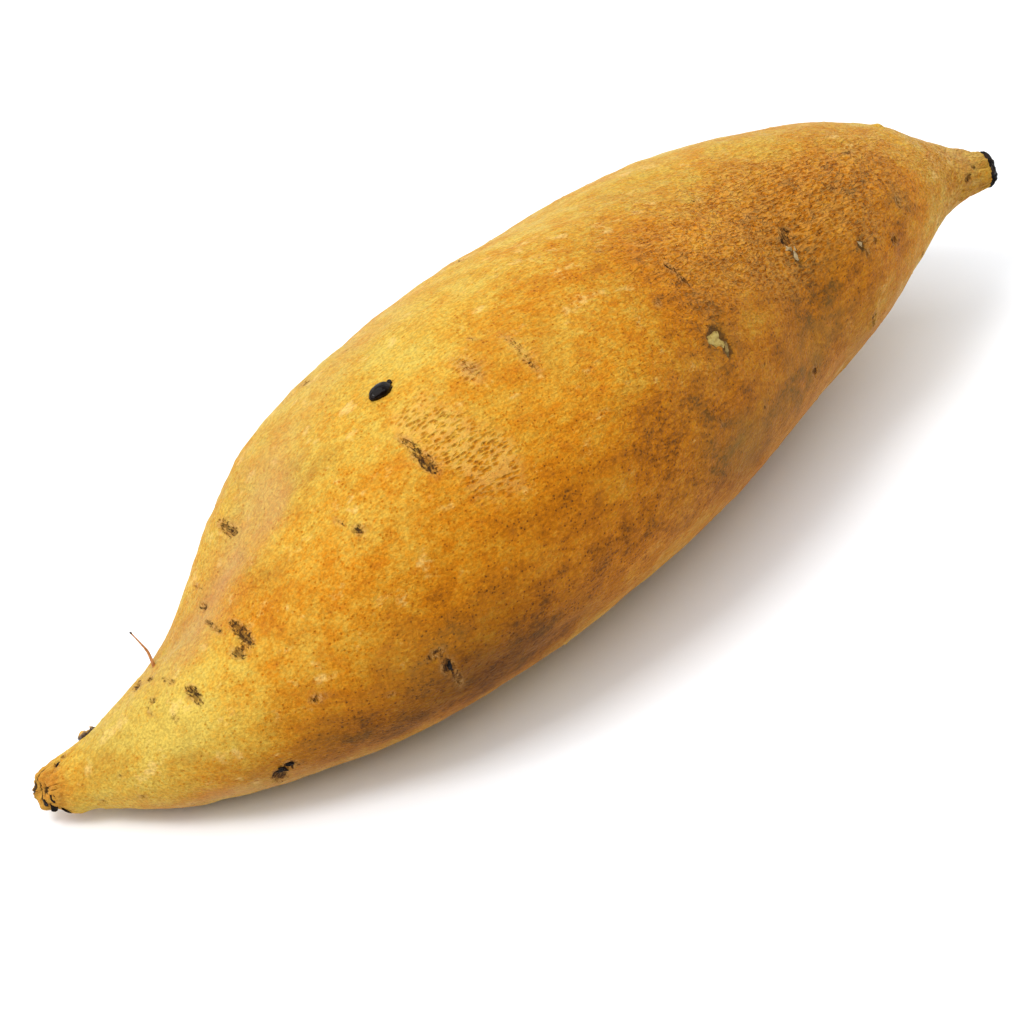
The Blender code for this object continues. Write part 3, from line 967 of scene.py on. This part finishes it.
lower_flank = facing(262, 52) * smooth_step(along, 0.08, 0.25) * smooth_step(along, 0.95, 0.80)
baked = smooth_step(along, 0.12, 0.30) * (1 - 0.55 * smooth_step(along, 0.83, 0.92))
front = facing(150, 60)
back = facing(322, 40)
tone = 0.20 + baked * (0.50 * front + 0.33 * back) + bells(TOAST_AND_PAINTED_SHADE)
tone += 0.05 * lower_flank + 0.03 * (leathery - 0.3) - 0.02 * height / MM
tone += 0.09 * layered(form, (0.020, 0.012, 0.012), 91, 3)
excess = (tone - BROWNEST).clip(0, None)
tone -= excess - BROWN_ROOM * np.tanh(excess / BROWN_ROOM)  # no patch bakes to one flat brown
masks = {
    "tone": tone,
    "olive": (bells(OLIVE_AND_PAINTED_SHADE) + 0.22 * layered(form, 0.009, 95, 3)).clip(0, 1),
    "blush": (bells(PINK_AND_PAINTED_SHEEN) + 0.15 * lower_flank).clip(0, 1),
    "brighter": 1 + bells(PAINTED_LIGHT_SHADE_AND_LIGHTNESS),
    "pitted": bells(PITTED).clip(0, 1),
    "leathery": leathery,
    "scar": scar.clip(0, 1.3),
    "scab": scab.clip(0, 1.3),
    "splits": split_mask,
    "stub": (root_end + 0.6 * torn_face).clip(0, 1),
}
for name, mask in masks.items():
    store(skin_piece, name, np.broadcast_to(mask, skin.shape[:2]))
print("tone from", round(float(tone.min()), 2), "to", round(float(tone.max()), 2))

# %% [markdown]
# ## Tools for materials
#
# A material is a small graph of nodes. These helpers add a node and wire it in one line,
# so each material below reads from top to bottom: what pattern, at what size, where, and
# what it does to the colour or the surface. Sizes are real ones, in metres.

# %% Node helpers
def fill(tree, node, inputs):
    """Fills a node's inputs with numbers, colours or other nodes' sockets."""
    for name, value in inputs.items():
        if isinstance(value, bpy.types.NodeSocket):
            tree.links.new(value, node.inputs[name])
        else:
            node.inputs[name].default_value = value


def add(tree, kind, inputs=None, **options):
    """Adds a node, sets its options and fills its inputs."""
    made = tree.nodes.new("ShaderNode" + kind)
    for name, value in options.items():
        setattr(made, name, value)
    fill(tree, made, inputs or {})
    return made


def maths(tree, operation, first, second=0.0, clamp=False):
    """One sum on two numbers."""
    return add(tree, "Math", {0: first, 1: second}, operation=operation, use_clamp=clamp).outputs[0]


def plus(tree, first, second, clamp=False):
    """Two numbers added. A clamped sum stays from 0 to 1."""
    return maths(tree, "ADD", first, second, clamp)


def minus(tree, first, second):
    """The first number less the second."""
    return maths(tree, "SUBTRACT", first, second)


def times(tree, first, second):
    """Two numbers multiplied."""
    return maths(tree, "MULTIPLY", first, second)


def summed(tree, parts):
    """The sum of some values, each times its own amount."""
    terms = [times(tree, value, amount) for value, amount in parts]
    total = terms[0]
    for term in terms[1:]:
        total = plus(tree, total, term)
    return total


def stepped(tree, value, low, high, new_low=0.0, new_high=1.0):
    """Takes a value from low..high to new_low..new_high, smoothly, and holds it there."""
    span = {"Value": value, "From Min": low, "From Max": high, "To Min": new_low, "To Max": new_high}
    return add(tree, "MapRange", span, interpolation_type="SMOOTHSTEP").outputs["Result"]


def mixed(tree, share, under, over, way="MIX"):
    """Lays one colour over another, by a share."""
    return add(tree, "Mix", {0: share, 6: under, 7: over}, data_type="RGBA", blend_type=way).outputs[2]


def stained(tree, colour, mask, share, paint_over):
    """Lays a paint over a colour where a mask says, at this share of its strength."""
    return mixed(tree, times(tree, mask, share), colour, paint_over)


def ramp(tree, value, stops):
    """A colour for each value, blended between stops of place and colour."""
    made = add(tree, "ValToRGB", {"Fac": value})
    elements = made.color_ramp.elements
    while len(elements) < len(stops):
        elements.new(0.5)
    for element, (place, colour) in zip(elements, stops):
        element.position = place
        element.color = colour
    return made.outputs["Color"]


def paint(red, green, blue):
    """A colour as a paint chart gives it, from 0 to 255, as the light values that nodes use."""
    shares = np.array([red, green, blue]) / 255
    linear = np.where(shares > 0.04045, ((shares + 0.055) / 1.055) ** 2.4, shares / 12.92)
    return (*linear.tolist(), 1.0)


def stretched(tree, where, along_size, round_size):
    """Coordinates in units of a pattern's cell, which is longer along the root."""
    scale = (1 / along_size, 1 / round_size, 1 / round_size)
    return add(tree, "Mapping", {"Vector": where, "Scale": scale}, vector_type="POINT").outputs[0]


def clouds(tree, where, along_size, round_size, detail=2.0, rough=0.5, warp=0.0):
    """Noise from 0 to 1 with cells of these sizes."""
    place = stretched(tree, where, along_size, round_size)
    look = {"Vector": place, "Scale": 1.0, "Detail": detail, "Roughness": rough, "Distortion": warp}
    return add(tree, "TexNoise", look).outputs[0]


def read(tree, name):
    """The number that the mesh keeps at each point under this name."""
    return add(tree, "Attribute", attribute_type="GEOMETRY", attribute_name=name).outputs["Fac"]


def new_group(name, inputs, outputs):
    """An empty shader node group with numbers in and out, and its two end nodes."""
    group = bpy.data.node_groups.new(name, "ShaderNodeTree")
    for socket, kind in inputs:
        group.interface.new_socket(socket, in_out="INPUT", socket_type=kind)
    for socket, kind in outputs:
        group.interface.new_socket(socket, in_out="OUTPUT", socket_type=kind)
    return group, group.nodes.new("NodeGroupInput").outputs, group.nodes.new("NodeGroupOutput").inputs


def new_material(name):
    """A material with its tree, its Principled shader and its object coordinates."""
    material = bpy.data.materials.new(name)
    material.use_nodes = True
    tree = material.node_tree
    where = add(tree, "TexCoord").outputs["Object"]
    return material, tree, tree.nodes["Principled BSDF"], where


def finish_paint(tree, shader, colour, roughness, relief, gloss):
    """Joins a material's colour, roughness and relief in mm to its shader."""
    bump = add(tree, "Bump", {"Height": relief, "Distance": MM, "Strength": 1.0})
    normal = bump.outputs["Normal"]
    fill(tree, shader, {"Base Color": colour, "Roughness": roughness, "Normal": normal})
    shader.inputs["Specular IOR Level"].default_value = gloss


# %% [markdown]
# ## Fine grain
#
# Under a lens, the skin of a baked root is a field of tiny bumps and dots. The skin, the
# scabs and the crusts all have it, each at its own size, so it is a node group. It gives
# a height for a Bump node, a mask of small dark dots and a mask of the bumps' tops.

# %% Grain group
grain_group, given, result = new_group(
    "fine_grain",
    [("Where", "NodeSocketVector"), ("Size", "NodeSocketFloat"), ("Dots", "NodeSocketFloat")],
    [("Height", "NodeSocketFloat"), ("Dot", "NodeSocketFloat"), ("Fleck", "NodeSocketFloat")],
)
per_size = maths(grain_group, "DIVIDE", 1.0, given["Size"])
scaled = add(grain_group, "VectorMath", {0: given["Where"], "Scale": per_size}, operation="SCALE")
bump_noise = {"Vector": scaled.outputs[0], "Scale": 1.0, "Detail": 3.0, "Roughness": 0.55}
bumps = add(grain_group, "TexNoise", bump_noise).outputs[0]
cells = add(grain_group, "TexVoronoi", {"Vector": scaled.outputs[0], "Scale": 0.62, "Randomness": 1.0})
spot = stepped(grain_group, cells.outputs["Distance"], 0.34, 0.14)
chosen = add(grain_group, "SeparateColor", {0: cells.outputs["Color"]}).outputs[0]
below = maths(grain_group, "LESS_THAN", chosen, given["Dots"])
dot = times(grain_group, spot, below)
bump_top = stepped(grain_group, bumps, 0.38, 0.64)
pressed = times(grain_group, dot, -0.5)
height_there = plus(grain_group, bumps, pressed)
for value, output in ((height_there, "Height"), (dot, "Dot"), (bump_top, "Fleck")):
    grain_group.links.new(value, result[output])


def grainy(tree, where, size, dots):
    """The outputs of the fine grain group, with its cell size and its share of dots."""
    made = add(tree, "Group", node_tree=grain_group)
    fill(tree, made, {"Where": where, "Size": size, "Dots": dots})
    return made.outputs


print("groups:", [group.name for group in bpy.data.node_groups])

# %% [markdown]
# ## The skin's finish
#
# The material starts from the `tone` mask, adds mottling at three sizes, and turns the
# sum into colour with one ramp from straw to dark brown. Olive and pink bruises, pits,
# scars and scabs are then laid over it, each with its own broken edge. Part of the olive
# is painted shade on the lower flank, part of the pink is a painted sheen along the edges,
# and a kept mask multiplies in painted light and shade. The surface is nearly dull. Where
# it is seen at a slant it shows a dusty sheen.

# %% Skin material
TOASTED = (
    (0.00, paint(193, 164, 72)),
    (0.20, paint(193, 154, 58)),
    (0.40, paint(189, 136, 40)),
    (0.55, paint(186, 122, 24)),
    (0.70, paint(180, 108, 12)),
    (0.82, paint(165, 96, 8)),
    (0.92, paint(142, 82, 8)),
    (1.00, paint(108, 63, 10)),
)
skin_material, tree, shader, where = new_material("baked_skin")
leather_mask = read(tree, "leathery")
blotches = clouds(tree, where, 0.013, 0.009, 3.0, 0.55)
mottle = clouds(tree, where, 0.0042, 0.0028, 3.0, 0.6)
speckle = clouds(tree, where, 0.0011, 0.0007, 2.0, 0.6)
sand = clouds(tree, where, 0.00056, 0.00036, 2.0, 0.6)
grain = grainy(tree, where, 0.00040, 0.55)
ridges = clouds(tree, where, 0.0026, 0.00085, 2.5, 0.6, 0.35)
crease = stepped(tree, maths(tree, "ABSOLUTE", minus(tree, ridges, 0.5)), 0.075, 0.0)
crease = times(tree, crease, leather_mask)

tone_value = read(tree, "tone")
for pattern, low, amount in ((blotches, 0.25, 0.11), (mottle, 0.25, 0.13), (speckle, 0.30, 0.09)):
    tone_value = plus(tree, tone_value, stepped(tree, pattern, low, 1 - low, -amount, amount))
# Creases turn browner, a painted shade in them, and the grain's dots darker.
tone_value = plus(tree, tone_value, summed(tree, ((crease, 0.13), (grain["Dot"], 0.24))))
# The grain's bump tops turn paler: a painted highlight on them.
tone_value = minus(tree, tone_value, stepped(tree, grain["Fleck"], 0.4, 1.0, 0.0, 0.07))
colour = ramp(tree, tone_value, TOASTED)

cream = stepped(tree, clouds(tree, where, 0.0050, 0.0034, 3.0, 0.6), 0.58, 0.72)
cream = times(tree, cream, stepped(tree, tone_value, 0.70, 0.35))
colour = stained(tree, colour, cream, 0.50, paint(226, 190, 116))
# Fine sand noise varies the lightness, and the kept mask multiplies in painted light and shade.
for factor in (stepped(tree, sand, 0.30, 0.70, 0.83, 1.20), read(tree, "brighter")):
    colour = mixed(tree, 1.0, colour, factor, "MULTIPLY")
# Olive stain, which on the lower flank is also painted shade.
olive_and_shade_share = times(tree, read(tree, "olive"), stepped(tree, mottle, 0.30, 0.65, 0.15, 1.0))
colour = stained(tree, colour, olive_and_shade_share, 0.75, paint(134, 106, 46))
# Pink stain, which along the slanting edges is also a painted sheen.
pink_and_sheen_share = times(tree, read(tree, "blush"), stepped(tree, blotches, 0.25, 0.6, 0.35, 1.0))
colour = stained(tree, colour, pink_and_sheen_share, 0.70, paint(184, 144, 104))
print("base colour nodes:", len(tree.nodes))

# %% [markdown]
# Where the skin blistered it is full of small pits that run lengthwise. They are the cells
# of a Voronoi pattern, stretched along the root and bent by noise: the middle of a cell is
# a brown pit, painted shade in the hollow, and its edge is a pale rim.

# %% Pits
pit_cells = add(tree, "TexVoronoi", {"Vector": stretched(tree, where, 0.00150, 0.00056), "Scale": 1.0})
pit_bend = add(tree, "TexNoise", {"Vector": stretched(tree, where, 0.0006, 0.0004), "Scale": 1.0})
pit_distance = plus(tree, pit_cells.outputs["Distance"], times(tree, pit_bend.outputs[0], 0.55))
pit_place = maths(tree, "MAXIMUM", stepped(tree, read(tree, "pitted"), 0.08, 0.90),
                  stepped(tree, leather_mask, 0.40, 1.0, 0.0, 0.55))
pit = times(tree, stepped(tree, pit_distance, 0.62, 0.42), pit_place)
pit_rim = times(tree, stepped(tree, pit_distance, 0.66, 0.84), pit_place)
colour = stained(tree, colour, pit_rim, 0.32, paint(224, 182, 100))
# The pits' brown is painted shade in the hollows.
colour = stained(tree, colour, pit, 0.58, paint(134, 72, 18))
print("with pits:", len(tree.nodes))

# %% [markdown]
# A scar has a brown halo, pale cork round its edge and black flecks in its middle, which
# fine fibres break up. A scab's dent is one dark brown with a ragged edge. The torn root
# end is browner, and black in its splits.

# %% Scars, scabs and the torn end
scar_mask = read(tree, "scar")
flecks = clouds(tree, where, 0.00042, 0.00085, 3.0, 0.7, 0.5)
fibres = clouds(tree, where, 0.00030, 0.00120, 2.0, 0.6, 0.3)
scar_value = plus(tree, scar_mask, stepped(tree, flecks, 0.30, 0.70, -0.45, 0.45))
scar_wide = plus(tree, scar_mask, stepped(tree, mottle, 0.3, 0.7, -0.15, 0.15))
scar_halo = stepped(tree, scar_wide, 0.05, 0.75)
scar_dark = times(tree, stepped(tree, scar_value, 0.46, 0.84), stepped(tree, scar_mask, 0.15, 0.4))
scar_dark = times(tree, scar_dark, stepped(tree, fibres, 0.62, 0.42, 0.45, 1.0))
scar_pale = times(tree, stepped(tree, scar_value, 0.45, 0.15), scar_halo)
colour = stained(tree, colour, scar_halo, 0.50, paint(140, 94, 44))
colour = stained(tree, colour, scar_pale, 0.45, paint(212, 168, 104))
colour = stained(tree, colour, scar_dark, 0.94, paint(46, 30, 18))

scab_mask = read(tree, "scab")
ragged_edge = clouds(tree, where, 0.0013, 0.0010, 3.0, 0.65)
dent_value = plus(tree, scab_mask, stepped(tree, ragged_edge, 0.30, 0.70, -0.20, 0.20))
dent = times(tree, stepped(tree, dent_value, 0.16, 0.50), stepped(tree, scab_mask, 0.04, 0.20))
colour = stained(tree, colour, dent, 0.85, paint(84, 58, 26))

stub_share = read(tree, "stub")
colour = stained(tree, colour, stub_share, 0.55, paint(172, 112, 48))
split_dark = stepped(tree, times(tree, read(tree, "splits"), stub_share), 0.55, 0.95)
colour = stained(tree, colour, split_dark, 0.92, paint(34, 22, 14))
print("with scars:", len(tree.nodes))

# %% [markdown]
# The same patterns give the relief, in millimetres, so that every dark pit or crease is
# also a dip. Leathery skin is rougher in relief. Burnt scars are the dullest places.

# %% Skin relief and sheen
relief = summed(tree, (
    (grain["Height"], 0.15),
    (sand, 0.10),
    (speckle, stepped(tree, leather_mask, 0.0, 0.8, 0.12, 0.26)),
    (crease, -0.16),
    (pit, -0.12),
    (pit_rim, 0.10),
    (scar_dark, -0.12),
))
dullness = stepped(tree, mottle, 0.25, 0.75, 0.46, 0.60)
dullness = plus(tree, dullness, times(tree, scar_dark, 0.25), clamp=True)
finish_paint(tree, shader, colour, dullness, relief, 0.045)
shader.inputs["Sheen Weight"].default_value = 0.02
shader.inputs["Sheen Roughness"].default_value = 0.45
shader.inputs["Sheen Tint"].default_value = (1.0, 0.88, 0.76, 1.0)
skin_piece.data.materials.append(skin_material)
print("skin nodes:", len(tree.nodes))

# %% [markdown]
# ## Burnt crust and cork
#
# Burnt plant tissue is black with brown and ash-grey specks, dull where it is dry and shiny
# where syrup glazed it. Cork is pale and powdery, with a broken brown edge. Both reuse the
# grain group at their own size.

# %% Crust and cork materials
def burnt_material():
    """Black crust: three dark colours by noise, and roughness that jumps between patches."""
    material, tree, shader, where = new_material("burnt_crust")
    grain = grainy(tree, where, 0.00035, 0.6)
    patches = clouds(tree, where, 0.0013, 0.0010, 3.0, 0.6)
    ash = clouds(tree, where, 0.0005, 0.0005, 2.0, 0.6)
    glazed = clouds(tree, where, 0.0010, 0.0010, 2.0, 0.5, 0.4)
    colour = mixed(tree, stepped(tree, patches, 0.42, 0.66), paint(12, 9, 8), paint(40, 28, 19))
    colour = mixed(tree, stepped(tree, ash, 0.64, 0.76, 0.0, 0.45), colour, paint(104, 88, 66))
    relief = summed(tree, ((grain["Height"], 0.10), (patches, 0.25)))
    finish_paint(tree, shader, colour, stepped(tree, glazed, 0.46, 0.60, 0.60, 0.14), relief, 0.09)
    return material


def cork_material(name, pale, deep):
    """Powdery cork: two colours by noise, and a dark broken rim from the piece's own rim."""
    material, tree, shader, where = new_material(name)
    grain = grainy(tree, where, 0.00040, 0.5)
    patches = clouds(tree, where, 0.0011, 0.0008, 3.0, 0.6)
    colour = mixed(tree, stepped(tree, patches, 0.35, 0.65), pale, deep)
    colour = stained(tree, colour, grain["Dot"], 0.5, paint(96, 66, 30))
    edge = plus(tree, read(tree, "rim"), stepped(tree, grain["Fleck"], 0.2, 0.9, -0.10, 0.10))
    colour = mixed(tree, stepped(tree, edge, 0.86, 1.0, 0.0, 0.85), colour, paint(78, 52, 24))
    relief = summed(tree, ((grain["Height"], 0.12), (patches, 0.20)))
    finish_paint(tree, shader, colour, stepped(tree, patches, 0.3, 0.7, 0.65, 0.85), relief, 0.2)
    return material


burnt = burnt_material()
tan_cork = cork_material("tan_cork", paint(190, 166, 92), paint(160, 132, 64))
grey_cork = cork_material("grey_cork", paint(190, 166, 124), paint(146, 120, 78))
brown_cork = cork_material("brown_cork", paint(146, 120, 66), paint(100, 76, 36))
flake_corks = (tan_cork, brown_cork, grey_cork, grey_cork, grey_cork, tan_cork, tan_cork)
crust_piece.data.materials.append(burnt)
for name, cork in zip(FLAKES, flake_corks):
    small_pieces[name].data.materials.append(cork)

# %% [markdown]
# ## Set syrup and the hair
#
# Syrup is smooth and shiny. Burnt, it is almost black, and only its gloss shows its shape.
# Unburnt, it is amber: honey-coloured on top and darker towards its edge, painted light and
# shade for the longer way that light goes through it near the edge. The hair is dry and
# fibrous, orange-brown, with a dark tip.

# %% Syrup and hair materials
def syrup_material(name, top, edge, crust, gloss):
    """Glossy syrup: the top colour turns to the edge colour down its sides, with crusty
    patches that are darker and rougher."""
    material, tree, shader, where = new_material(name)
    patches = clouds(tree, where, 0.0008, 0.0008, 3.0, 0.6, 0.3)
    fine = clouds(tree, where, 0.0003, 0.0003, 2.0, 0.6)
    crusty = stepped(tree, patches, 0.60, 0.70)
    # Top to edge: painted light on top and painted shade down the sides.
    colour = mixed(tree, stepped(tree, read(tree, "rim"), 0.35, 0.95), top, edge)
    colour = stained(tree, colour, crusty, 0.8, crust)
    roughness = stepped(tree, crusty, 0.0, 1.0, 0.04, 0.24)
    roughness = plus(tree, roughness, stepped(tree, fine, 0.3, 0.7, 0.0, 0.04))
    relief = summed(tree, ((patches, 0.05), (fine, 0.01)))
    finish_paint(tree, shader, colour, roughness, relief, gloss)
    return material


black_syrup = syrup_material("black_syrup", paint(10, 5, 5), paint(18, 9, 6), paint(30, 20, 14), 0.15)
amber_syrup = syrup_material("amber_syrup", paint(200, 150, 56), paint(52, 32, 10), paint(88, 58, 20), 0.45)
bead_paints = {"syrup": black_syrup, "amber": amber_syrup, "burnt": burnt}
for name in BEADS:
    small_pieces[name].data.materials.append(bead_paints[name.split("_")[0]])

hair_material, tree, shader, where = new_material("dry_hair")
fibre = clouds(tree, where, 0.0004, 0.0004, 3.0, 0.6)
colour = mixed(tree, stepped(tree, fibre, 0.3, 0.7), paint(190, 126, 62), paint(146, 88, 38))
colour = mixed(tree, stepped(tree, read(tree, "share"), 0.93, 0.985), colour, paint(48, 32, 22))
hair_dullness = stepped(tree, fibre, 0.3, 0.7, 0.55, 0.75)
finish_paint(tree, shader, colour, hair_dullness, times(tree, fibre, 0.12), 0.5)
hair_piece.data.materials.append(hair_material)
print("materials:", [material.name for material in bpy.data.materials])
